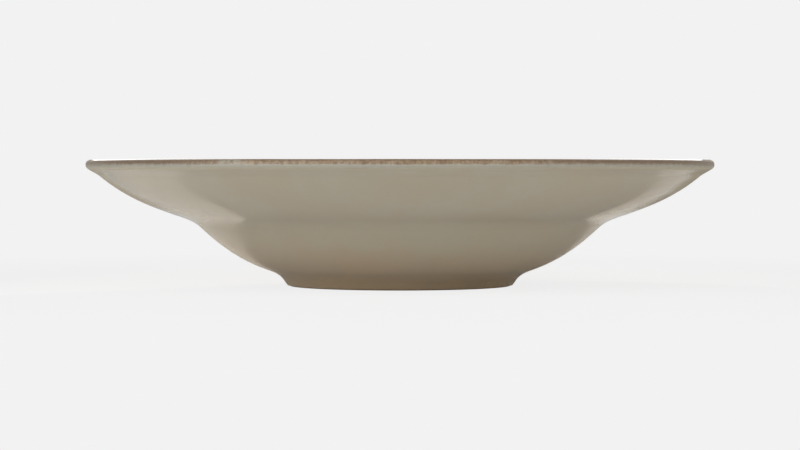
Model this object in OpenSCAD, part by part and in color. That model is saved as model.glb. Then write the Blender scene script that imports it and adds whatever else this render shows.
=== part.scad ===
// Rimmed soup plate in glazed stoneware: a flared foot ring, a well, a wide rising
// flange and a fully rounded lip with an iron-brown band.
// The plate stands on z = 0 and its axis is z. Every piece is a turned form: its
// outline is drawn in the half plane of radius and height, then spun about the axis.
// The sizes are those of the glazed surface. The clay lies one coat of glaze below it.

/* [Plate] */
// Diameter across the lip
rim_d = 240; // [228:1:270]
// Height from the table to the crest of the lip
plate_h = 48.4; // [45:0.2:53]

/* [Lip] */
// Thickness of the flange at the lip, whose edge is fully rounded
lip_t = 4; // [3:0.1:5]
// Width of the straight collar between the round and the crease
collar_w = 3.8; // [3.2:0.1:6]
// Climb of the collar, in degrees
collar_slope = 30; // [24:0.5:36]
// Width of the soft crease between the collar and the flange
crease_w = 1.6; // [0.8:0.1:3]

/* [Flange] */
// Diameter of the shoulder on the underside, where the flange turns into the well
shoulder_d = 170.2; // [160:0.2:180]
// Height of the shoulder on the underside
shoulder_h = 26.9; // [24:0.1:30]
// Thickness at the shoulder
shoulder_t = 4.2; // [3.4:0.1:5]
// How much steeper than straight the flange climbs at the crease, in degrees
flange_out_angle = 12.1; // [6:0.1:16]
// How much flatter than straight the flange climbs at the shoulder, in degrees
flange_in_angle = 8.9; // [4:0.1:14]

/* [Well] */
// Width of the shoulder's turn, inwards to the steepest ring of the wall
turn_w = 8.9; // [6:0.1:12]
// Height of the shoulder's turn, down to that ring
turn_h = 4.6; // [3:0.1:6]
// Thickness of the wall at that ring
wall_t = 4.6; // [3.8:0.1:5.4]
// How much steeper than straight the wall climbs at that ring, in degrees
wall_angle = 10.9; // [6:0.1:16]
// How much flatter than straight the wall climbs at the neck, in degrees
neck_angle = 13.1; // [8:0.1:18]
// Thickness of the floor over the recess
floor_t = 5.5; // [4.4:0.1:6.2]

/* [Foot] */
// Outer diameter of the foot ring at the table
foot_d = 86; // [78:0.5:94]
// Width of the foot ring at the table
foot_w = 5.4; // [4:0.1:8]
// Climb of the foot ring's outer side, in degrees
foot_slope = 54; // [46:1:70]
// Height of the straight part of that side
foot_side_h = 2.3; // [1.6:0.1:3]
// Distance from the foot ring's outer edge out to the neck, where the bowl begins
neck_w = 8; // [6.4:0.1:10]
// Height of the neck over the foot's straight side
neck_h = 3.9; // [3:0.1:5]
// Thickness at the neck
neck_t = 4.8; // [4.2:0.1:5.4]
// Climb of the foot ring's inner side, in degrees
foot_inner_slope = 62; // [50:1:75]
// Height of the recess inside the foot ring
recess_h = 3.6; // [2.4:0.1:4.4]
// Width over which the inner side bends into the recess
recess_bend_w = 4.6; // [3:0.1:7]
// Clearance round the foot of a plate that stands on this one's floor
stack_gap = 0.5; // [0.2:0.1:2]

/* [Glaze] */
// Thickness of every coat of glaze
glaze_t = 0.4; // [0.2:0.05:0.7]
// Height of the foot's edge that is wiped clean of glaze
wiped_h = 0.4; // [0.2:0.05:0.8]
// Width of the soft edge on each side of the foot's clay
foot_edge_w = 1; // [0.6:0.1:1.4]
// Height from the crest of the lip down to the band's outer edge
band_drop = 2; // [1.2:0.1:2.6]
// Width of the band on the collar's upper side, past the round
band_in = 3; // [1:0.1:3.2]

/* [Hidden] */
$fn = 120;

// Straight pieces in one bend, in one long bend and in the round of the lip
bend_steps = 14;
long_steps = 22;
round_steps = 24;
// Length of a bend's handles, as a share of the distance that it spans
pull_share = 0.36;

// Degrees in a right angle, a straight angle and a full turn
right_angle = 90;
straight_angle = 180;
full_angle = 360;

// A surface is a list of stops [radius, height, heading]. It runs clockwise round the
// outline, from the middle of the floor over the lip to the middle of the recess, so
// the clay is always on its right.
function aim(a) = [cos(a), sin(a)];
function place(s) = [s[0], s[1]];
function stop(p, a) = [p[0], p[1], a];
function places(stops) = [for (s = stops) place(s)];
function backwards(list) = [for (i = [len(list) - 1 : -1 : 0]) list[i]];
function after_first(list) = [for (i = [1 : len(list) - 1]) list[i]];

// The climb of a straight line from place p up to place q
function climb(p, q) = atan2(q[1] - p[1], q[0] - p[0]);

// The stop that lies a depth d below the surface at stop s
function sunk(s, d) = stop(place(s) + d * aim(s[2] - right_angle), s[2]);
function sunk_all(stops, d) = [for (s = stops) sunk(s, d)];

// The stop on the upper side that lies a thickness t over stop s of the underside
function above(s, t) = stop(place(sunk(s, t)), s[2] - straight_angle);

// A soft bend from stop p to stop q, given as n stops after p: a cubic curve that
// leaves p and reaches q along their headings
function bend(p, q, n) =
    let (
        reach = pull_share * norm(place(q) - place(p)),
        a = place(p),
        b = a + reach * aim(p[2]),
        d = place(q),
        c = d - reach * aim(q[2])
    )
    [for (i = [1 : n])
        let (
            t = i / n,
            u = 1 - t,
            at = u * u * u * a + 3 * u * u * t * b + 3 * u * t * t * c + t * t * t * d,
            way = u * u * (b - a) + 2 * u * t * (c - b) + t * t * (d - c),
            turn = atan2(way[1], way[0])
        )
        stop(at, turn < p[2] - straight_angle ? turn + full_angle : turn)];

// A round about centre m of radius r, from heading a down to heading b
function round_edge(m, r, a, b) =
    [for (i = [0 : round_steps])
        let (h = a + (b - a) * i / round_steps)
        stop(m + r * aim(h + right_angle), h)];

// The lip's round, and the places of the underside from the lip to the foot
lip_r = lip_t / 2;
lip_centre = [rim_d / 2 - lip_r, plate_h - lip_r];
collar_under = lip_centre + lip_r * aim(collar_slope - right_angle);
crease_place = collar_under - collar_w * aim(collar_slope);
shoulder_place = [shoulder_d / 2, shoulder_h];
wall_place = shoulder_place - [turn_w, turn_h];
neck_place = [foot_d / 2 + neck_w, foot_side_h + neck_h];

// The climb of the flange and of the wall at both of their ends
flange_climb = climb(shoulder_place, crease_place);
flange_slope = flange_climb + flange_out_angle;
shoulder_slope = flange_climb - flange_in_angle;
wall_climb = climb(neck_place, wall_place);
wall_slope = wall_climb + wall_angle;
neck_slope = wall_climb - neck_angle;

// The stops of the underside. They head inwards, so half a turn is added to the climb
crease_out = stop(crease_place, straight_angle + collar_slope);
crease_in = stop(
    crease_place - crease_w / 2 * (aim(collar_slope) + aim(flange_slope)),
    straight_angle + flange_slope
);
shoulder = stop(shoulder_place, straight_angle + shoulder_slope);
wall = stop(wall_place, straight_angle + wall_slope);
neck = stop(neck_place, straight_angle + neck_slope);
foot_heading = straight_angle + foot_slope;
foot_side = [foot_d / 2 + foot_side_h / tan(foot_slope), foot_side_h, foot_heading];
foot_out = [foot_d / 2 + wiped_h / tan(foot_slope), wiped_h, foot_heading];

// The stops inside the foot ring
ring_inner_r = foot_d / 2 - foot_w;
foot_in = [
    ring_inner_r - wiped_h / tan(foot_inner_slope),
    wiped_h,
    straight_angle - foot_inner_slope
];
recess_edge = [ring_inner_r - recess_bend_w, recess_h, straight_angle];
recess_middle = [0, recess_h, straight_angle];

// The clay's own edge at the table: soft on both sides and flat between them
clay_out = sunk(foot_out, glaze_t);
clay_in = sunk(foot_in, glaze_t);
tread_out = [clay_out[0] - foot_edge_w, 0, straight_angle];
tread_in = [clay_in[0] + foot_edge_w, 0, straight_angle];

// The stops of the upper side, from the middle of the floor to the lip. The floor is
// flat as far out as the foot of a plate stacked on it needs
floor_h = recess_h + floor_t;
floor_middle = [0, floor_h, 0];
floor_edge = [tread_out[0] + stack_gap, floor_h, 0];
neck_over = above(neck, neck_t);
wall_over = above(wall, wall_t);
shoulder_over = above(shoulder, shoulder_t);
crease_in_over = above(crease_in, lip_t);
crease_out_over = above(crease_out, lip_t);
collar_over = lip_centre + lip_r * aim(collar_slope + right_angle);
band_start = stop(collar_over - band_in * aim(collar_slope), collar_slope);

// Heading of the round at the band's outer edge
band_end_heading = asin((lip_r - band_drop) / lip_r) - right_angle;

// The four stretches of glazed surface, end to end round the outline
inside_face = concat(
    [floor_middle, floor_edge],
    bend(floor_edge, neck_over, bend_steps),
    bend(neck_over, wall_over, bend_steps),
    bend(wall_over, shoulder_over, bend_steps),
    bend(shoulder_over, crease_in_over, long_steps),
    bend(crease_in_over, crease_out_over, bend_steps),
    [band_start]
);
band_face = concat(
    [band_start],
    round_edge(lip_centre, lip_r, collar_slope, band_end_heading)
);
outside_face = concat(
    round_edge(lip_centre, lip_r, band_end_heading, collar_slope - straight_angle),
    [crease_out],
    bend(crease_out, crease_in, bend_steps),
    bend(crease_in, shoulder, long_steps),
    bend(shoulder, wall, bend_steps),
    bend(wall, neck, long_steps),
    bend(neck, foot_side, bend_steps),
    [foot_out]
);
base_face = concat(
    [foot_in],
    bend(foot_in, recess_edge, bend_steps),
    [recess_middle]
);

// The bare clay of the foot, from one coat's edge to the other's
foot_face = concat(
    bend(clay_out, tread_out, bend_steps),
    [tread_in],
    bend(tread_in, clay_in, bend_steps)
);

// Spins an outline about the plate's axis
module turned(outline) {
    rotate_extrude() polygon(outline);
}

// One coat of glaze under a stretch of surface
module coat(face) {
    turned(concat(places(face), backwards(places(sunk_all(face, glaze_t)))));
}

// Fired stoneware: floor, wall, flange, lip and foot ring in one
module clay_body() {
    under_coats = [
        for (face = [inside_face, band_face, outside_face])
            each after_first(sunk_all(face, glaze_t))
    ];
    color([0.62, 0.53, 0.42])
    turned(places(concat(
        [sunk(floor_middle, glaze_t)],
        under_coats,
        foot_face,
        after_first(sunk_all(base_face, glaze_t))
    )));
}

// Taupe-grey glaze over the floor, the well and the flange
module inside_glaze() {
    color([0.65, 0.61, 0.54]) coat(inside_face);
}

// Iron-brown band round the lip, where the glaze breaks over the edge
module edge_band() {
    color([0.45, 0.36, 0.27]) coat(band_face);
}

// Taupe-grey glaze under the flange and down to the foot
module outside_glaze() {
    color([0.61, 0.58, 0.52]) coat(outside_face);
}

// Glaze in the recess inside the foot ring
module base_glaze() {
    color([0.56, 0.52, 0.45]) coat(base_face);
}

clay_body();
inside_glaze();
edge_band();
outside_glaze();
base_glaze();
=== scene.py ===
# %% [markdown]
# # A rimmed soup plate in glazed stoneware
#
# A potter makes this plate from one lump of clay on a wheel, trims a foot ring under it,
# and dips it in a taupe-grey glaze. The glaze runs thin over the lip and lets the iron in
# it through as a brown band. This script builds that plate over a packed CAD model, which
# fixes its size, and then gives it its finish, a floor, light and a camera.
#
# The first step loads the frame. Its box is kept, because the finished piece has to stay
# inside it.

# %% Load the frame
import math

import bpy
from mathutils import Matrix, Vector, noise


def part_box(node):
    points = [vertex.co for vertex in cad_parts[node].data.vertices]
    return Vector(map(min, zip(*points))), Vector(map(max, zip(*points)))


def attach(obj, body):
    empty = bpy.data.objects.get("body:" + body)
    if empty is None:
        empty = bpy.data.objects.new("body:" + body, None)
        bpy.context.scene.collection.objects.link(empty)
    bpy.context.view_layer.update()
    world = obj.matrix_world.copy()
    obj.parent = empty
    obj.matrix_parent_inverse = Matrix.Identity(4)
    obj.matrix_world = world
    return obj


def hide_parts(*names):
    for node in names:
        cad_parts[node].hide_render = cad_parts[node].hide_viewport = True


MM = 0.001

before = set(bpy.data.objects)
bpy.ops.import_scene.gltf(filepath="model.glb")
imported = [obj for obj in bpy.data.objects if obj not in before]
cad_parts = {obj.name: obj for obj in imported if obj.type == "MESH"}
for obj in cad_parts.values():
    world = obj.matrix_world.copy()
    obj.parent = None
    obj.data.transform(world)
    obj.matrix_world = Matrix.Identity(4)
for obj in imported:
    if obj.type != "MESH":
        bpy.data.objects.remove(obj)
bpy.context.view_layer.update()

# %% [markdown]
# ## The sizes
#
# A turned form is known from its half section alone: the line from the middle of the
# floor, over the lip, down the underside and into the recess of the foot. The overall
# sizes come from the frame, so that they follow it. The rest are the potter's own
# measures of the profile, which a gauge would give, in metres and degrees. A radius ends
# in r, a height in h, a width in w and a thickness in t.

# %% Measures of the profile
rim_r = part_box("edge_band")[1].x
plate_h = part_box("edge_band")[1].z
glaze_t = rim_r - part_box("clay_body")[1].x
wiped_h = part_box("outside_glaze")[0].z
floor_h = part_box("inside_glaze")[0].z + glaze_t
recess_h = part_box("base_glaze")[1].z - glaze_t

lip_r = 2.0 * MM
collar_w, collar_slope = 3.8 * MM, 30
crease_w, flange_slope = 1.6 * MM, 39.5
shoulder_r, shoulder_h, shoulder_slope = 85.1 * MM, 26.9 * MM, 18.5
wall_r, wall_h, wall_slope = 76.2 * MM, 22.3 * MM, 43.5
neck_r, neck_h, neck_slope = 51.0 * MM, 6.2 * MM, 19.5
foot_r, foot_side_h, foot_slope = 43.0 * MM, 2.3 * MM, 54
foot_w, foot_inner_slope = 5.4 * MM, 62
recess_bend_w = 4.6 * MM
foot_edge_w = 1.0 * MM
stack_gap = 0.5 * MM
lip_t, shoulder_t, wall_t, neck_t = 4.0 * MM, 4.2 * MM, 4.6 * MM, 4.8 * MM
band_drop, band_in = 2.0 * MM, 3.0 * MM
print("lip at radius", round(rim_r / MM, 2), "and height", round(plate_h / MM, 2), "mm")

# %% [markdown]
# ## Drawing the section
#
# The section could be a list of many points, but then nobody could tell what shapes it.
# Here it is a list of stops, each with a radius, a height and the heading in which the
# line passes, and a cubic curve bends from one stop to the next, as a ribbon of clay
# would. The clay is always on the right of the line, so the same headings also say which
# way a coat of glaze lies on it.

# %% Headings and stops
RIGHT_ANGLE, HALF_TURN, FULL_TURN = 90, 180, 360


def aim(degrees):
    """A step of length one in a heading, where 0 is outwards and 90 is up."""
    return Vector((math.cos(math.radians(degrees)), math.sin(math.radians(degrees))))


def stop(place, heading):
    """A place on the line, as a vector, with its heading."""
    return Vector(place), heading


def sunk(at, depth):
    """The stop that lies a depth under the surface."""
    place, heading = at
    return place + depth * aim(heading - RIGHT_ANGLE), heading


def above(at, thickness):
    """The stop on the upper side, over one of the underside."""
    place, heading = sunk(at, thickness)
    return place, heading - HALF_TURN


print("a climb of 30 degrees rises", round(aim(30).y / aim(30).x, 2), "mm for each mm outwards")

# %% Bends, rounds and straights
BEND_STEPS, LONG_STEPS, FLAT_STEPS, ROUND_STEPS = 14, 24, 24, 28
PULL = 0.36


def bend(start, end, steps):
    """The stops of a soft bend that leaves start and reaches end along their headings."""
    (a, leave), (d, reach) = start, end
    handle = PULL * (d - a).length
    b, c = a + handle * aim(leave), d - handle * aim(reach)
    stops = []
    for step in range(1, steps + 1):
        t = step / steps
        u = 1 - t
        place = u * u * u * a + 3 * u * u * t * b + 3 * u * t * t * c + t * t * t * d
        way = u * u * (b - a) + 2 * u * t * (c - b) + t * t * (d - c)
        turn = math.degrees(math.atan2(way.y, way.x))
        stops.append((place, turn + FULL_TURN if turn < leave - HALF_TURN else turn))
    return stops


def round_edge(middle, radius, first, last):
    """The stops of a round about its middle, from one heading to a lower one."""
    headings = [first + (last - first) * i / ROUND_STEPS for i in range(ROUND_STEPS + 1)]
    return [(middle + radius * aim(heading + RIGHT_ANGLE), heading) for heading in headings]


def straight(start, end, steps):
    """The stops of a straight stretch, which keeps its heading."""
    return [(start[0].lerp(end[0], i / steps), start[1]) for i in range(1, steps + 1)]


print("a bend is drawn with", BEND_STEPS, "pieces and the round of the lip with", ROUND_STEPS)

# %% [markdown]
# ## The stops of this plate
#
# The underside comes first, because that is what shows from the side: the rounded lip,
# a straight collar under it, a soft crease, the flange in one long sweep, the turn into
# the well, the bowl, the neck and the flared foot. The upper side lies one wall
# thickness over it, as it does when both are turned on the wheel.

# %% The underside
lip_middle = Vector((rim_r - lip_r, plate_h - lip_r))
collar_under = lip_middle + lip_r * aim(collar_slope - RIGHT_ANGLE)
crease_place = collar_under - collar_w * aim(collar_slope)
crease_turn = crease_w / 2 * (aim(collar_slope) + aim(flange_slope))

# The line runs inwards here, so half a turn is added to each climb
crease_out = stop(crease_place, HALF_TURN + collar_slope)
crease_in = stop(crease_place - crease_turn, HALF_TURN + flange_slope)
shoulder = stop((shoulder_r, shoulder_h), HALF_TURN + shoulder_slope)
wall = stop((wall_r, wall_h), HALF_TURN + wall_slope)
neck = stop((neck_r, neck_h), HALF_TURN + neck_slope)
print("the crease lies", round((rim_r - crease_place.x) / MM, 2), "mm in from the lip's edge")

# %% The foot
def foot_stop(height):
    """A stop on the straight outer side of the foot ring."""
    run = height / math.tan(math.radians(foot_slope))
    return stop((foot_r + run, height), HALF_TURN + foot_slope)


foot_side, foot_out = foot_stop(foot_side_h), foot_stop(wiped_h)
ring_inner_r = foot_r - foot_w
inner_run = wiped_h / math.tan(math.radians(foot_inner_slope))
foot_in = stop((ring_inner_r - inner_run, wiped_h), HALF_TURN - foot_inner_slope)
recess_edge = stop((ring_inner_r - recess_bend_w, recess_h), HALF_TURN)
recess_middle = stop((0, recess_h), HALF_TURN)
clay_out, clay_in = sunk(foot_out, glaze_t), sunk(foot_in, glaze_t)
tread_out = stop((clay_out[0].x - foot_edge_w, 0), HALF_TURN)
tread_in = stop((clay_in[0].x + foot_edge_w, 0), HALF_TURN)
print("the tread is", round((tread_out[0].x - tread_in[0].x) / MM, 2), "mm wide")

# %% The upper side
floor_middle = stop((0, floor_h), 0)
floor_edge = stop((tread_out[0].x + stack_gap, floor_h), 0)
neck_over, wall_over = above(neck, neck_t), above(wall, wall_t)
shoulder_over = above(shoulder, shoulder_t)
crease_in_over, crease_out_over = above(crease_in, lip_t), above(crease_out, lip_t)
collar_over = lip_middle + lip_r * aim(collar_slope + RIGHT_ANGLE)
band_start = stop(collar_over - band_in * aim(collar_slope), collar_slope)
band_end_heading = math.degrees(math.asin((lip_r - band_drop) / lip_r)) - RIGHT_ANGLE
print("the well is", round((plate_h - floor_h) / MM, 2), "mm deep under the lip")

# %% The four glazed stretches and the bare one
inside_face = (
    [floor_middle]
    + straight(floor_middle, floor_edge, FLAT_STEPS)
    + bend(floor_edge, neck_over, BEND_STEPS)
    + bend(neck_over, wall_over, BEND_STEPS)
    + bend(wall_over, shoulder_over, BEND_STEPS)
    + bend(shoulder_over, crease_in_over, LONG_STEPS)
    + bend(crease_in_over, crease_out_over, BEND_STEPS)
    + [band_start]
)
band_face = [band_start] + round_edge(lip_middle, lip_r, collar_slope, band_end_heading)
outside_face = (
    round_edge(lip_middle, lip_r, band_end_heading, collar_slope - HALF_TURN)
    + [crease_out]
    + bend(crease_out, crease_in, BEND_STEPS)
    + bend(crease_in, shoulder, LONG_STEPS)
    + bend(shoulder, wall, BEND_STEPS)
    + bend(wall, neck, LONG_STEPS)
    + bend(neck, foot_side, BEND_STEPS)
    + [foot_out]
)
base_face = (
    [foot_in]
    + bend(foot_in, recess_edge, BEND_STEPS)
    + straight(recess_edge, recess_middle, FLAT_STEPS)
)
foot_face = (
    bend(clay_out, tread_out, BEND_STEPS)
    + [tread_in]
    + bend(tread_in, clay_in, BEND_STEPS)
)
for name, face in (("inside", inside_face), ("outside", outside_face), ("base", base_face)):
    run = sum((b[0] - a[0]).length for a, b in zip(face, face[1:]))
    print(name, "face:", len(face), "stops over", round(run / MM, 1), "mm")

# %% [markdown]
# ## A surface that isn't quite true
#
# Blender can spin a line with a modifier or with an operator. Here the rings are made in
# mesh code, because each ring can then be let go a little: no turned and fired plate is
# perfectly true, and a highlight on it wavers. The wavering sinks the surface by a tenth
# of a millimetre at most and never lifts it, so the piece stays within the size of the
# frame. It depends only on the place, so two coats that meet still meet. It fades out at
# the foot, which stands flat on the table.

# %% Rings that waver
SEGMENTS = 288
WAVER_DEPTH = 0.10 * MM
WAVER_SIZE = 34 * MM
FOOT_FADE_H = 6 * MM


def waver(point, height):
    """How far the surface sinks at a point, in metres."""
    drift = noise.noise(point / WAVER_SIZE)
    share = min(1, height / FOOT_FADE_H)
    # The noise runs from -1 to 1, and this from 0 to the whole depth
    return WAVER_DEPTH * share * (0.5 + 0.5 * drift)


def ring(at):
    """The points round the axis at one stop, each let go along its own direction."""
    (radius, height), heading = at
    out, up = aim(heading - RIGHT_ANGLE)
    points = []
    for i in range(SEGMENTS):
        turn = 2 * math.pi * i / SEGMENTS
        side = Vector((math.cos(turn), math.sin(turn), 0))
        point = radius * side + Vector((0, 0, height))
        points.append(point + waver(point, height) * (out * side + Vector((0, 0, up))))
    return points


drops = [waver(point, shoulder_h) for point in ring(shoulder)]
print("the shoulder wavers by", round((max(drops) - min(drops)) / MM, 3), "mm")

# %% [markdown]
# ## Turning a section into a solid
#
# Faces between one ring and the next make the skin, and the last ring joins the first,
# so the solid is closed. A stop on the axis is a single point. A coat of glaze is its
# surface and the way back along the clay under it. The shading is smooth all over, apart
# from edges that turn sharply, such as the edge of a coat.

# %% Solids from rings
ON_AXIS = 1e-9
SHARP_ANGLE = 40


def turned(name, outline):
    """A closed solid from an outline of stops, which may begin and end on the axis."""
    verts, rings = [], []
    for at in outline:
        points = [ring(at)[0]] if at[0].x < ON_AXIS else ring(at)
        rings.append(range(len(verts), len(verts) + len(points)))
        verts.extend(points)
    faces = []
    for a, b in zip(rings, rings[1:] + rings[:1]):
        for i in range(SEGMENTS):
            j = (i + 1) % SEGMENTS
            corners = [a[i % len(a)], a[j % len(a)], b[j % len(b)], b[i % len(b)]]
            corners = list(dict.fromkeys(corners))
            if len(corners) > 2:
                faces.append(corners)
    mesh = bpy.data.meshes.new(name)
    mesh.from_pydata(verts, [], faces)
    mesh.validate()
    mesh.shade_smooth()
    mesh.set_sharp_from_angle(angle=math.radians(SHARP_ANGLE))
    piece = bpy.data.objects.new(name, mesh)
    bpy.context.collection.objects.link(piece)
    print(name, len(mesh.vertices), "points,", len(mesh.polygons), "faces")
    return piece


def coat(name, face):
    """A coat of glaze: the surface, and back along the clay under it."""
    return turned(name, face + [sunk(at, glaze_t) for at in reversed(face)])


# %% [markdown]
# ## The pieces
#
# There are five: the fired clay and four coats on it. One solid with its faces painted
# would look the same. But clay and glaze are different materials that lie on one another,
# and with a solid for each, every one of them can be weighed, cut open or changed alone.
# Each stands for its CAD node and rides on the one body that a plate has.

# %% Make the pieces
under_coats = [
    sunk(at, glaze_t) for face in (inside_face, band_face, outside_face) for at in face[1:]
]
stoneware = turned(
    "stoneware",
    [sunk(floor_middle, glaze_t)]
    + under_coats
    + foot_face
    + [sunk(at, glaze_t) for at in base_face[1:]],
)
inside_coat = coat("inside_coat", inside_face)
lip_band = coat("lip_band", band_face)
outside_coat = coat("outside_coat", outside_face)
base_coat = coat("base_coat", base_face)

pieces = (
    (stoneware, "clay_body", "fired_clay"),
    (inside_coat, "inside_glaze", "inside_glaze"),
    (lip_band, "edge_band", "edge_band"),
    (outside_coat, "outside_glaze", "outside_glaze"),
    (base_coat, "base_glaze", "base_glaze"),
)
for piece, node_name, slot_name in pieces:
    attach(piece, "root")
    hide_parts(node_name)

# %% [markdown]
# ## Writing a finish
#
# A glaze is a small sum: so much of one colour here, so much of another there. Node
# trees hide such sums in boxes and wires, so two helpers let them be written as sums. A
# Wire is one output of a node, and arithmetic on it adds Math nodes. A Finish is a
# material that makes any node from its type, its settings and its inputs.

# %% Wires
class Wire:
    """One output of a node, which adds, subtracts and multiplies like a number."""

    def __init__(self, finish, socket):
        self.finish, self.socket = finish, socket

    def math(self, operation, *values):
        """A Math node on any wires and numbers."""
        return self.finish.node("ShaderNodeMath", {"operation": operation}, values)

    def __add__(self, other):
        return self.math("ADD", self, other)

    def __sub__(self, other):
        return self.math("SUBTRACT", self, other)

    def __rsub__(self, other):
        return self.math("SUBTRACT", other, self)

    def __mul__(self, other):
        return self.math("MULTIPLY", self, other)

    __radd__, __rmul__ = __add__, __mul__

    def root(self):
        """The square root."""
        return self.math("SQRT", self)

    def between(self, low, high):
        """0 where the value is low, 1 where it is high, and smooth in between."""
        settings = {"interpolation_type": "SMOOTHSTEP"}
        return self.finish.node("ShaderNodeMapRange", settings, (self, low, high, 0, 1))

    def beside(self, key):
        """Another output of the same node."""
        return Wire(self.finish, self.socket.node.outputs[key])


print("besides sums, a Wire has", [name for name in vars(Wire) if name[0] != "_"])

# %% Finishes
# A Mix node has sockets for numbers, vectors and colours. These are the ones for colours
MIX_SHARE, MIX_FIRST, MIX_SECOND, MIX_COLOUR = 0, 6, 7, 2


class Finish:
    """A material whose nodes are made one call at a time."""

    def __init__(self, name):
        self.material = bpy.data.materials.new(name)
        self.material.use_nodes = True
        self.tree = self.material.node_tree
        self.tree.nodes.clear()

    def node(self, kind, settings=None, inputs=(), output=0):
        """Makes a node, sets it, fills its sockets and returns one output as a Wire."""
        made = self.tree.nodes.new(kind)
        for name, value in (settings or {}).items():
            setattr(made, name, value)
        named = inputs.items() if isinstance(inputs, dict) else enumerate(inputs)
        for key, value in named:
            if isinstance(value, Wire):
                self.tree.links.new(value.socket, made.inputs[key])
            else:
                made.inputs[key].default_value = value
        return Wire(self, made.outputs[output]) if len(made.outputs) else made

    def mix(self, share, first, second):
        """A colour that goes from the first to the second with the share."""
        inputs = {MIX_SHARE: share, MIX_FIRST: first, MIX_SECOND: second}
        return self.node("ShaderNodeMix", {"data_type": "RGBA"}, inputs, MIX_COLOUR)

    def surface(self, colour, roughness, grain, strength, depth):
        """The shader of a bare or glazed surface, with a grain that stands up a depth."""
        relief = {"Strength": strength, "Distance": depth, "Height": grain}
        bump = self.node("ShaderNodeBump", None, relief)
        looks = {"Base Color": colour, "Roughness": roughness, "Normal": bump}
        shader = self.node("ShaderNodeBsdfPrincipled", None, looks)
        self.node("ShaderNodeOutputMaterial", None, (shader,))


print("a Finish has", [name for name in vars(Finish) if name[0] != "_"])

# %% [markdown]
# ## Where on the plate
#
# A glaze changes with where it lies: thin on edges, thick in hollows, warmer near the
# foot. So each finish starts from the place on the plate, in millimetres: its side,
# which is how far it lies to the right as seen from the front, its radius and its
# height. Noise is read at the place too, so it runs on from one coat to the next. A
# stretched reading makes streaks, because glaze runs down while it is wet.
#
# In the cells that follow, a pair of numbers in brackets is a range, from where a thing
# starts to where it is whole.

# %% The place
class Place:
    """Where on the plate a finish is, in millimetres."""

    def __init__(self, finish):
        metres = finish.node("ShaderNodeTexCoord", output="Object")
        settings, scaled = {"operation": "SCALE"}, {"Vector": metres, "Scale": 1 / MM}
        self.point = finish.node("ShaderNodeVectorMath", settings, scaled)
        side = finish.node("ShaderNodeSeparateXYZ", None, (self.point,))
        back = side.beside("Y")
        self.side = side
        self.radius = (side * side + back * back).root()
        self.height = side.beside("Z")


print("in a finish, the crest of the lip has height", round(plate_h / MM, 1))

# %% The noise
NOISE_ROUGHNESS = 0.55
MIDDLE, SPREAD = 0.5, 0.2


def mottle(finish, place, size, stretch=(1, 1, 1), detail=3):
    """Noise from 0 to 1 with blots of about a size in mm, drawn out along an axis."""
    shrink = tuple(1 / (size * s) for s in stretch)
    settings = {"operation": "MULTIPLY"}
    scaled = finish.node("ShaderNodeVectorMath", settings, (place.point, shrink))
    inputs = {"Vector": scaled, "Scale": 1, "Detail": detail, "Roughness": NOISE_ROUGHNESS}
    return finish.node("ShaderNodeTexNoise", {"noise_dimensions": "3D"}, inputs)


def blots(finish, place, size, stretch=(1, 1, 1), detail=3, spread=SPREAD):
    """The same noise, pulled apart from its middle so that it reaches 0 and 1."""
    mottled = mottle(finish, place, size, stretch, detail)
    return mottled.between(MIDDLE - spread, MIDDLE + spread)


print("blots take noise of", MIDDLE - SPREAD, "as 0 and noise of", MIDDLE + SPREAD, "as 1")

# %% [markdown]
# ## The grey of the glaze
#
# The glaze is a taupe-grey. It is cooler in a thin line under the brown of the lip, where
# it gathers after running off; that line is painted darker too, as painted shade, because
# the lamps light the lip's front more than the flange. It is warmer low on the bowl, where
# it is thin. The foot is painted darker, as painted shade low down near the floor, and
# darker still on its right. Faint clouds and streaks lie all over it. A photograph of a
# glaze laid over the plate would be quicker, but it would show its seams, and layers of
# noise have none.
#
# Colours are written as a screen gives them, from 0 to 255. Blender works with amounts
# of light, in which a middle grey is only a fifth of white, so they are turned into
# those.

# %% Colours of the glaze
def srgb(red, green, blue):
    """The light of a colour that is written from 0 to 255, on the standard curve."""
    def linear(value):
        share = value / 255
        return share / 12.92 if share < 0.04045 else ((share + 0.055) / 1.055) ** 2.4
    return linear(red), linear(green), linear(blue), 1


TAUPE = srgb(160, 150, 130)
TAUPE_COOL = srgb(161, 154, 136)
TAUPE_WARM = srgb(168, 149, 121)
# painted shade: the foot is the lowest part, close to the floor
FOOT_SHADE = srgb(152, 134, 108)
# painted shade: this cool grey is darker than the glaze because the lamps light the lip's front more
# than the flange
HALO_WITH_SHADE = srgb(133, 131, 120)
IRON_DARK = srgb(92, 72, 50)
IRON = srgb(124, 106, 84)
IRON_PALE = srgb(142, 132, 116)
# a deep brown, for the band's painted shade far out, its darker crest, and the painted shade on the
# right of the foot
DEEP_BROWN = srgb(72, 52, 28)
print("the grey gives back", round(TAUPE[1] / IRON[1], 1), "times the light of the brown")

# %% The grey with its clouds and streaks
CLOUD_SIZE, STREAK_SIZE, STREAK_RUN = 26, 2.2, (1, 1, 7)
WARM_H, CLOUD_LIFT = (3, 22), 3
FOOT_SHADE_H = 2, 7
RIGHT_SHADE_H, RIGHT_SHADE_SIDE, RIGHT_SHADE_SHARE = (1, 8), (0, 40), 0.3
STREAK_SHARE = 0.12


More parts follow.
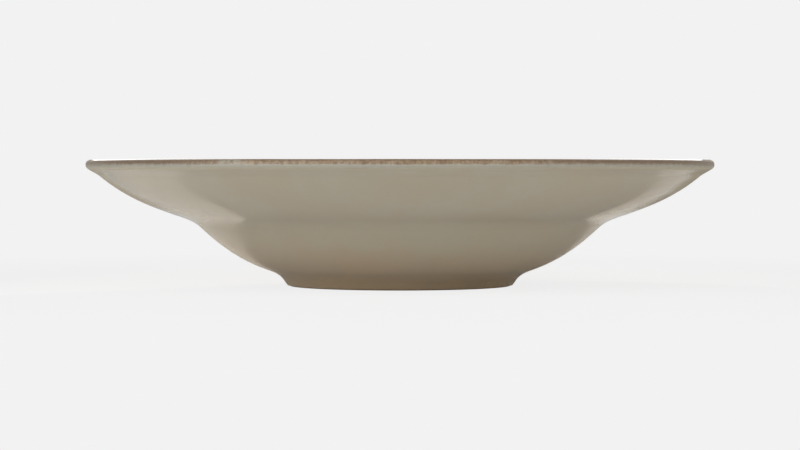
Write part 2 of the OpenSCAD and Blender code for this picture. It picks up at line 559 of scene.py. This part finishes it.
def grey_of_glaze(finish, place):
    """Grey with clouds and streaks, warm low on the bowl, painted shade on the foot, most on its
    right.
    """
    clouds = blots(finish, place, CLOUD_SIZE, detail=4)
    streaks = blots(finish, place, STREAK_SIZE, STREAK_RUN, detail=2, spread=0.25)
    colour = finish.mix(clouds, TAUPE, TAUPE_COOL)
    low = 1 - (place.height + CLOUD_LIFT * (clouds - MIDDLE)).between(*WARM_H)
    colour = finish.mix(low, colour, TAUPE_WARM)
    # painted shade: darker on the foot, low down near the floor
    colour = finish.mix(1 - place.height.between(*FOOT_SHADE_H), colour, FOOT_SHADE)
    # painted shade: the foot is darker still on its right, away from the stronger lamps on the left
    right_shade = RIGHT_SHADE_SHARE * (1 - place.height.between(*RIGHT_SHADE_H)) * place.side.between(*RIGHT_SHADE_SIDE)
    colour = finish.mix(right_shade, colour, DEEP_BROWN)
    return finish.mix(STREAK_SHARE * streaks, colour, TAUPE_WARM)


print("a streak is about", STREAK_SIZE, "mm wide and", STREAK_RUN[2], "times as long")

# %% [markdown]
# ## The brown of the lip
#
# A brown for the band's own piece would be quicker, but then it would end in a dead level
# line. It belongs to the same glaze, so the one recipe makes every coat, and its ragged
# edge wanders over the seam between two of them.
#
# The band isn't even. Far out to both sides it fades out softly downwards and is painted
# deeper, and at both ends it reaches lower; that deeper, lower brown is painted shade,
# where the lip turns away to the sides. In between it is full of paler flecks, and in one
# place it turns paler, close to the cool grey. The crest is a little darker in between.
# Depths are counted in millimetres down from the crest.

# %% The iron in the band
FLECK_SIZE, FLECK_RUN, PATCH_SIZE = 0.9, (1, 1, 3), 11
PALE_SHARE = 0.4
DEEP_SHARE, DEEP_ON_CREST, DEEP_DEPTH = 0.85, 0.45, (0.25, 0.75)
CREST_SHARE, CREST_DEPTH = 0.35, (0.3, 0.9)
PALE_SPOT_AT, PALE_SPOT_RAG, PALE_SPOT_EDGE = -58.5, 14, (14, 34)
PALE_SPOT_SHARE, PALE_SPOT_FLECKS = 0.2, 0.5


def iron_of_band(finish, place, depth, ragged, far_out):
    """Brown with paler flecks, painted deeper far out as painted shade, and paler in one place."""
    flecks = blots(finish, place, FLECK_SIZE, FLECK_RUN)
    patches = blots(finish, place, PATCH_SIZE, detail=2, spread=0.15)
    iron = finish.mix(flecks, IRON_DARK, IRON)
    iron = finish.mix(PALE_SHARE * patches * flecks, iron, IRON_PALE)
    under_crest = DEEP_ON_CREST + (1 - DEEP_ON_CREST) * depth.between(*DEEP_DEPTH)
    # painted shade: far out to both sides the brown is painted deeper, where the lip turns away to
    # the sides
    deep = DEEP_SHARE * far_out * under_crest
    deep = deep + CREST_SHARE * (1 - far_out) * (1 - depth.between(*CREST_DEPTH))
    iron = finish.mix(deep, iron, DEEP_BROWN)
    off = place.side - PALE_SPOT_AT
    pale_spot = 1 - (off * off + PALE_SPOT_RAG * ragged).between(*PALE_SPOT_EDGE)
    return finish.mix(PALE_SPOT_FLECKS * pale_spot * flecks + PALE_SPOT_SHARE * pale_spot, iron, HALO_WITH_SHADE)


print("a fleck is about", FLECK_SIZE, "mm wide and", FLECK_RUN[2], "times as long")

# %% The band over the grey
BAND_R = rim_r / MM - 7, rim_r / MM - 5
RAG_SIZE, RAG_RUN, RAGGEDNESS = 1.6, (1, 1, 2.5), 1.1
FAR_RIGHT, FAR_LEFT, END_SIDE = (30, 75), (55, 88), (100, 112)
FULL_DEPTH, LAST_DEPTH = 1.65, 2.1
FAR_SOFTER_UP, FAR_SOFTER_DOWN, END_LOWER = 0.45, 0.5, 0.5
END_FADE = 0.15
HALO_DEPTH, HALO_RAG, HALO_SHARE = (2.8, 3.7), 0.6, 0.9


def glaze_colour(finish, place):
    """The grey of the glaze, its cool line, and the brown band over them."""
    depth = plate_h / MM - place.height
    near_rim = place.radius.between(*BAND_R)
    ragged = mottle(finish, place, RAG_SIZE, RAG_RUN)
    halo = near_rim * (1 - (depth + HALO_RAG * ragged).between(*HALO_DEPTH))
    # the cool line under the band is real, and its darkness is painted shade
    colour = finish.mix(HALO_SHARE * halo, grey_of_glaze(finish, place), HALO_WITH_SHADE)

    far_out = place.side.between(*FAR_RIGHT) + (0 - place.side).between(*FAR_LEFT)
    first, last = END_SIDE
    end = (place.side * place.side).between(first * first, last * last)
    full = FULL_DEPTH - FAR_SOFTER_UP * far_out
    # painted shade: at both ends the brown reaches lower
    gone = LAST_DEPTH + FAR_SOFTER_DOWN * far_out + END_LOWER * end
    brown = near_rim * (1 - (depth + RAGGEDNESS * (ragged - MIDDLE)).between(full, gone))
    brown = brown * (1 - END_FADE * end)
    return finish.mix(brown, colour, iron_of_band(finish, place, depth, ragged, far_out))


print("the brown is full to", FULL_DEPTH, "mm and gone at", LAST_DEPTH, "mm under the crest")

# %% [markdown]
# ## The gloss of the glaze
#
# Under the flange the glaze is glossy enough to mirror the floor. It is a little duller
# on the bowl and the foot, where it is thin, and satin on the upper side, so that the
# well doesn't look like metal. The lip's outer face is matt from the iron in it, but its
# crest is polished towards both ends, which draws two thin white lines there.
#
# A perfect mirror grows brightest where it is seen at a very flat angle, and this glaze
# doesn't, because its fine ripples show there. Layer Weight finds those angles, and the
# roughness rises with them, most of all high on the right.

# %% Where the flange is dull and where the lip is polished
FLANGE_H, BOWL_H, RIGHT_H, RIGHT_SIDE = (27, 35), (22, 27), (35, 40), (90, 100)
FLAT_ANGLE, RIGHT_FLAT_ANGLE = (0.83, 0.95), (0.79, 0.9)
FLAT_DULL, RIGHT_DULL, BOWL_DULL = 0.5, 0.4, 0.14
CREST_H = plate_h / MM - 0.7, plate_h / MM - 0.2
LEFT_SHINE, LEFT_SHINE_END = (50, 90), (113, 115.5)
RIGHT_SHINE, RIGHT_SHINE_END = (40, 90), (110, 112.5)


def dullness(finish, place):
    """How much duller the underside is low down and where it is seen at a flat angle."""
    facing = finish.node("ShaderNodeLayerWeight", None, {"Blend": 0.5}, "Facing")
    grazed = FLAT_DULL * facing.between(*FLAT_ANGLE) * place.height.between(*FLANGE_H)
    on_right = place.height.between(*RIGHT_H) * place.side.between(*RIGHT_SIDE)
    grazed = grazed + RIGHT_DULL * facing.between(*RIGHT_FLAT_ANGLE) * on_right
    return grazed + BOWL_DULL * (1 - place.height.between(*BOWL_H))


def polished_crest(place):
    """1 on the crest of the lip towards both ends, and 0 elsewhere."""
    right, left = place.side, 0 - place.side
    shine = left.between(*LEFT_SHINE) * (1 - left.between(*LEFT_SHINE_END))
    shine = shine + right.between(*RIGHT_SHINE) * (1 - right.between(*RIGHT_SHINE_END))
    return place.height.between(*CREST_H) * shine


print("the crest's polish grows from", round(CREST_H[0], 1), "to", round(CREST_H[1], 1), "mm up")

# %% The glazed surfaces
GLOSSY, CLOUDY, CLOUDY_SIZE = 0.07, 0.04, 9
SATIN, UPWARD = 0.22, (0.1, 0.5)
MATT, LIP_R, LIP_H = 0.45, (rim_r / MM - 4, rim_r / MM - 2), (44, 45.2)
PEEL_SIZE, PEEL_STRENGTH, PEEL_DEPTH = 1.4, 0.2, 0.02 * MM


def glazed(name):
    """A glazed surface: glossy below, satin above, matt on the lip, with an orange-peel."""
    finish = Finish(name)
    place = Place(finish)
    normal = finish.node("ShaderNodeNewGeometry", output="Normal")
    settings = {"operation": "DOT_PRODUCT"}
    upward = finish.node("ShaderNodeVectorMath", settings, (normal, (0, 0, 1)), "Value")
    lip = place.radius.between(*LIP_R) * place.height.between(*LIP_H)
    elsewhere = dullness(finish, place) + SATIN * upward.between(*UPWARD)
    matt = MATT * lip * (1 - polished_crest(place)) + elsewhere * (1 - lip)
    roughness = GLOSSY + CLOUDY * mottle(finish, place, CLOUDY_SIZE) + matt
    peel = mottle(finish, place, PEEL_SIZE, detail=2)
    finish.surface(glaze_colour(finish, place), roughness, peel, PEEL_STRENGTH, PEEL_DEPTH)
    print(name, "has", len(finish.tree.nodes), "nodes")
    return finish.material


for piece in (inside_coat, lip_band, outside_coat, base_coat):
    piece.data.materials.append(glazed(piece.name + "_finish"))

# %% [markdown]
# ## The bare clay
#
# Only the tread of the foot is bare. The clay there is a warm buff, matt and slightly
# gritty, with dark specks of iron, and it is darker towards the glaze's edge. Grit
# could be modelled grain by grain. At less than a millimetre across, noise that colours
# the grains and lifts them with a bump shows the same.

# %% The clay
CLAY = srgb(168, 142, 112)
CLAY_DARK = srgb(128, 94, 64)
CLAY_SPECK = srgb(84, 62, 44)
GRAIN_SIZE, GRAIN_SHARE = 0.7, 0.35
SPECK_SIZE, SPECK_EDGE, SPECK_SHARE = 0.8, (0.66, 0.72), 0.8
DARKER_H, DARKER_SHARE = (0.05, 0.5), 0.7
CLAY_MATT, CLAY_UNEVEN = 0.75, 0.15
GRIT_STRENGTH, GRIT_DEPTH = 0.6, 0.05 * MM


def bare_clay(name):
    """Fired clay: buff with specks, matt, and gritty."""
    finish = Finish(name)
    place = Place(finish)
    grain = mottle(finish, place, GRAIN_SIZE, detail=4)
    specks = mottle(finish, place, SPECK_SIZE, detail=1).between(*SPECK_EDGE)
    colour = finish.mix(GRAIN_SHARE * grain, CLAY, CLAY_DARK)
    darker_up = DARKER_SHARE * place.height.between(*DARKER_H)
    colour = finish.mix(darker_up, colour, CLAY_DARK)
    colour = finish.mix(SPECK_SHARE * specks, colour, CLAY_SPECK)
    finish.surface(colour, CLAY_MATT + CLAY_UNEVEN * grain, grain, GRIT_STRENGTH, GRIT_DEPTH)
    print(name, "has", len(finish.tree.nodes), "nodes")
    return finish.material


stoneware.data.materials.append(bare_clay("stoneware_finish"))

# %% [markdown]
# ## Floor and background
#
# Photographers stand a plate on one sheet of paper that curves up behind it. A flat floor
# and a background of the same pale colour look like that from every side. The floor does
# half of the lighting here, because the underside of the plate is lit by it alone.
#
# The camera sees the floor mostly as its plain pale colour, and a share of it as lit,
# which keeps a faint soft shadow round the foot. That share fades with the distance from
# the plate. Mirrors see the floor as it is lit, and as plain only far out, so that it has
# no edge in them.

# %% The floor's finish
PALE = srgb(242, 242, 242)
FLOOR_PAPER = srgb(232, 232, 232)
SHADOW_SHARE, SHADOW_R = 0.08, (130, 420)
FAR_FLOOR_R = 2000, 2900


def rays_of(finish, *kinds):
    """1 for rays of the kinds named, from the camera or a mirror or glass, else 0."""
    path = finish.node("ShaderNodeLightPath")
    rays = [path.beside(f"Is {kind} Ray") for kind in kinds]
    return sum(rays[1:], rays[0]).between(0, 1)


def floor_finish():
    """Pale paper that shows its shadow near the plate."""
    finish = Finish("floor_finish")
    place = Place(finish)
    plain = finish.node("ShaderNodeEmission", None, (PALE, 1))
    lit = finish.node("ShaderNodeBsdfDiffuse", None, (FLOOR_PAPER,))
    near = 1 - place.radius.between(*SHADOW_R)
    seen = rays_of(finish, "Camera") * (1 - SHADOW_SHARE * near)
    mirrored = rays_of(finish, "Glossy", "Transmission") * place.radius.between(*FAR_FLOOR_R)
    shader = finish.node("ShaderNodeMixShader", None, (seen + mirrored, lit, plain))
    finish.node("ShaderNodeOutputMaterial", None, (shader,))
    return finish.material


print("the camera sees", round(100 * SHADOW_SHARE), "percent of the floor's own shadow")

# %% The floor
FLOOR_R = 3.0

floor_mesh = bpy.data.meshes.new("floor")
corners = [(FLOOR_R * x, FLOOR_R * y, 0) for x, y in ((-1, -1), (1, -1), (1, 1), (-1, 1))]
floor_mesh.from_pydata(corners, [], [(0, 1, 2, 3)])
floor = bpy.data.objects.new("floor", floor_mesh)
floor.data.materials.append(floor_finish())
bpy.context.collection.objects.link(floor)
print("the floor is", 2 * FLOOR_R, "m wide")

# %% [markdown]
# ## The world
#
# A picture of a studio, wrapped round the scene, could light the plate. A plain room and a
# few lamps say more clearly what lights what. The room is grey and gives little light.
# The camera, mirrors and glass see it as pale as the floor, so the background is plain.

# %% The room
WALLS = srgb(70, 70, 71)


class Surround(Finish):
    """A finish for the world, which is made like any other."""

    def __init__(self, world):
        self.tree = world.node_tree
        self.tree.nodes.clear()


world = bpy.data.worlds.new("studio")
world.use_nodes = True
bpy.context.scene.world = world
surround = Surround(world)
direct = rays_of(surround, "Camera", "Glossy", "Transmission")
walls = surround.mix(direct, WALLS, PALE)
background = surround.node("ShaderNodeBackground", None, (walls, 1))
surround.node("ShaderNodeOutputWorld", None, (background,))
print("the room gives", round(WALLS[1], 3), "of the light of a white one")

# %% [markdown]
# ## Light
#
# Two softboxes stand in front, the left one stronger, one at each side, of which the
# right one is warm, and a fifth hangs over the camera. The gloss doesn't show that one,
# because it would lie across the bowl as a white square.
#
# Two narrow warm lamps stand far behind the plate. Each lights a pool on the floor on the
# opposite side, as far in as the plate's own shadow. The flange mirrors these pools as
# two bright wedges, whose inner edges are the edges of that shadow. A white panel behind
# is there for the gloss alone: it draws the thin white lines on the crest of the lip.
#
# The level of them all is such that a colour renders about as it is written. Powers are
# in watts, and places and sizes in metres.

# %% Softboxes
def hang(name, light, power, place, target=(0, 0, 0), in_gloss=True, on_things=True):
    """Hangs a lamp at a place, aimed at a target, out of the camera's sight."""
    light.energy = power
    lamp = bpy.data.objects.new(name, light)
    lamp.location = place
    aim_at = Vector(target) - Vector(place)
    lamp.rotation_euler = aim_at.to_track_quat("-Z", "Y").to_euler()
    lamp.visible_camera = False
    lamp.visible_glossy = in_gloss
    lamp.visible_diffuse = on_things
    bpy.context.collection.objects.link(lamp)
    print(name, "at", [round(value, 2) for value in place], "with", power, "W")


def softbox(name, power, place, width, height, colour=(1, 1, 1), **seen):
    """A broad lamp behind a white cloth."""
    light = bpy.data.lights.new(name, "AREA")
    light.shape, light.size, light.size_y = "RECTANGLE", width, height
    light.color = colour
    hang(name, light, power, place, **seen)


BOX_W = 0.8
WARM_CLOTH = 1, 0.88, 0.72

softbox("left_box", 12.8, (-0.95, -0.74, 0.5), BOX_W, BOX_W)
softbox("left_side_box", 1.5, (-1.2, 0, 0.5), BOX_W, BOX_W)
softbox("right_box", 8.5, (0.9, -0.8, 0.5), BOX_W, BOX_W)
softbox("right_side_box", 3.2, (1.2, 0, 0.5), BOX_W, BOX_W, WARM_CLOTH)
softbox("front_box", 8.7, (0, -1.1, 1.0), 0.9, 0.9, in_gloss=False)
softbox("back_panel", 4.7, (0, 1.5, 0.4), 1.2, 0.6, on_things=False)

# %% Floor lamps
POOL_ANGLE, POOL_EDGE = 5.5, 1
POOL_COLOUR = 1, 0.91, 0.79


def floor_lamp(name, power, place, pool, size):
    """A narrow warm lamp that lights a pool on the floor. No gloss shows the lamp itself."""
    light = bpy.data.lights.new(name, "SPOT")
    light.spot_size, light.spot_blend = math.radians(POOL_ANGLE), POOL_EDGE
    light.shadow_soft_size = size
    light.color = POOL_COLOUR
    hang(name, light, power, place, pool, in_gloss=False)


floor_lamp("back_right_lamp", 280, (0.48, 1.89, 0.56), (-0.078, 0.02, 0), 0.03)
floor_lamp("back_left_lamp", 160, (-0.5, 1.31, 0.73), (0.088, 0.10, 0), 0.06)

# %% [markdown]
# ## Camera
#
# The photograph was taken from just under the height of the lip, about a metre away, so
# the plate shows as a pure profile with a hair of curve in its foot. Two measures of the
# picture fix that: the row at the level of the eye, and how wide the plate appears.

# %% The camera
IMAGE_W, IMAGE_H = 800, 450
EYE_ROW = 165
CAMERA_AWAY = 1.028
CAMERA_H = 46.3 * MM
SENSOR_W = 36
FOCAL_PIXELS = 2676
NEAREST_SEEN, FURTHEST_SEEN = 0.05, 20

camera_data = bpy.data.cameras.new("camera")
camera_data.sensor_width = SENSOR_W
camera_data.lens = FOCAL_PIXELS / IMAGE_W * SENSOR_W
camera_data.clip_start, camera_data.clip_end = NEAREST_SEEN, FURTHEST_SEEN
camera = bpy.data.objects.new("camera", camera_data)
tilt = math.atan2(IMAGE_H / 2 - EYE_ROW, FOCAL_PIXELS)
camera.location = (0, -CAMERA_AWAY, CAMERA_H)
camera.rotation_euler = (math.pi / 2 - tilt, 0, 0)
bpy.context.collection.objects.link(camera)
bpy.context.scene.camera = camera
bpy.context.scene.view_settings.view_transform = "Standard"
print("lens", round(camera_data.lens, 1), "mm, tilted", round(math.degrees(tilt), 2), "degrees down")

# %% [markdown]
# ## Finish
